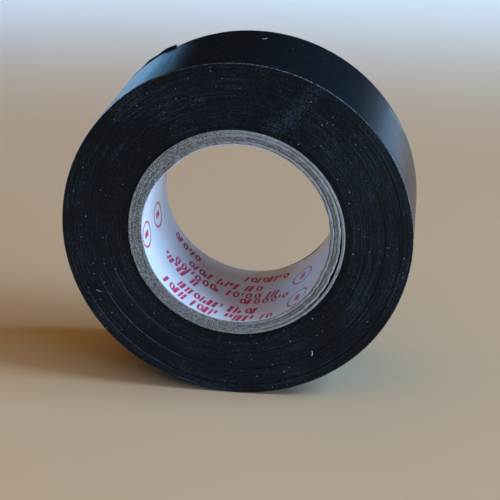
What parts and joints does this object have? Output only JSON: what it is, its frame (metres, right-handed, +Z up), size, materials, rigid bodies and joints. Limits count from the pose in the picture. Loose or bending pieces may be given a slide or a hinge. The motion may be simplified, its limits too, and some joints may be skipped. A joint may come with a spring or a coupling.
{
  "type": "electrical tape roll",
  "caption": "Roll of black electrical tape on a paper-lined chipboard core, standing on its rim, with a free end that peels off the roll.",
  "frame": {"origin": "on the ground under the middle of the roll, where its rim rests", "axes": "+Y along the roll's axis from the front side to the back side, +Z up, +X to the right seen from the front"},
  "size_m": [0.0504, 0.0193, 0.0503],
  "materials": {
    "tape_film": "smooth plasticised PVC film, satin gloss",
    "tape_edge": "cut edges of the wound turns, fine concentric lines, dusty",
    "tape_adhesive": "thin tacky rubber adhesive, glossy",
    "chipboard": "grey recycled chipboard, fibrous sawn edge",
    "liner_paper": null
  },
  "bodies": {
    "roll": {"core_liner": "liner_paper", "core_ply_1": "chipboard", "core_ply_2": "chipboard", "core_ply_3": "chipboard", "core_ply_4": "chipboard", "wound_turns_1_to_23": "tape_edge", "wound_turns_24_to_43": "tape_edge", "wound_turns_44_to_62": "tape_edge", "wound_turns_63_to_73": "tape_edge", "last_turn_film": "tape_film", "last_turn_adhesive": "tape_adhesive"},
    "tail_1": {"tail_film_1": "tape_film", "tail_adhesive_1": "tape_adhesive"},
    "tail_2": {"tail_film_2": "tape_film", "tail_adhesive_2": "tape_adhesive"},
    "tail_3": {"tail_film_3": "tape_film", "tail_adhesive_3": "tape_adhesive"},
    "tail_4": {"tail_film_4": "tape_film", "tail_adhesive_4": "tape_adhesive"},
    "tail_5": {"tail_film_5": "tape_film", "tail_adhesive_5": "tape_adhesive"},
    "tail_6": {"tail_film_6": "tape_film", "tail_adhesive_6": "tape_adhesive"}
  },
  "joints": [
    {"name": "tail_peel_1", "type": "hinge", "parent": "roll", "child": "tail_1", "pos_m": [-0.02523, 0, 0.0263], "axis": [0, -1, 0], "range_deg": [0, 20]},
    {"name": "tail_peel_2", "type": "hinge", "parent": "tail_1", "child": "tail_2", "pos_m": [-0.02466, 0, 0.03066], "axis": [0, -1, 0], "range_deg": [0, 20]},
    {"name": "tail_peel_3", "type": "hinge", "parent": "tail_2", "child": "tail_3", "pos_m": [-0.02334, 0, 0.03486], "axis": [0, -1, 0], "range_deg": [0, 20]},
    {"name": "tail_peel_4", "type": "hinge", "parent": "tail_3", "child": "tail_4", "pos_m": [-0.02131, 0, 0.03877], "axis": [0, -1, 0], "range_deg": [0, 20]},
    {"name": "tail_peel_5", "type": "hinge", "parent": "tail_4", "child": "tail_5", "pos_m": [-0.01863, 0, 0.04227], "axis": [0, -1, 0], "range_deg": [0, 20]},
    {"name": "tail_peel_6", "type": "hinge", "parent": "tail_5", "child": "tail_6", "pos_m": [-0.01538, 0, 0.04524], "axis": [0, -1, 0], "range_deg": [0, 20]}
  ],
  "couplings": [
    {"joint": "tail_peel_2", "follows": "tail_peel_1", "ratio": 1},
    {"joint": "tail_peel_3", "follows": "tail_peel_1", "ratio": 1},
    {"joint": "tail_peel_4", "follows": "tail_peel_1", "ratio": 1},
    {"joint": "tail_peel_5", "follows": "tail_peel_1", "ratio": 1},
    {"joint": "tail_peel_6", "follows": "tail_peel_1", "ratio": 1}
  ]
}
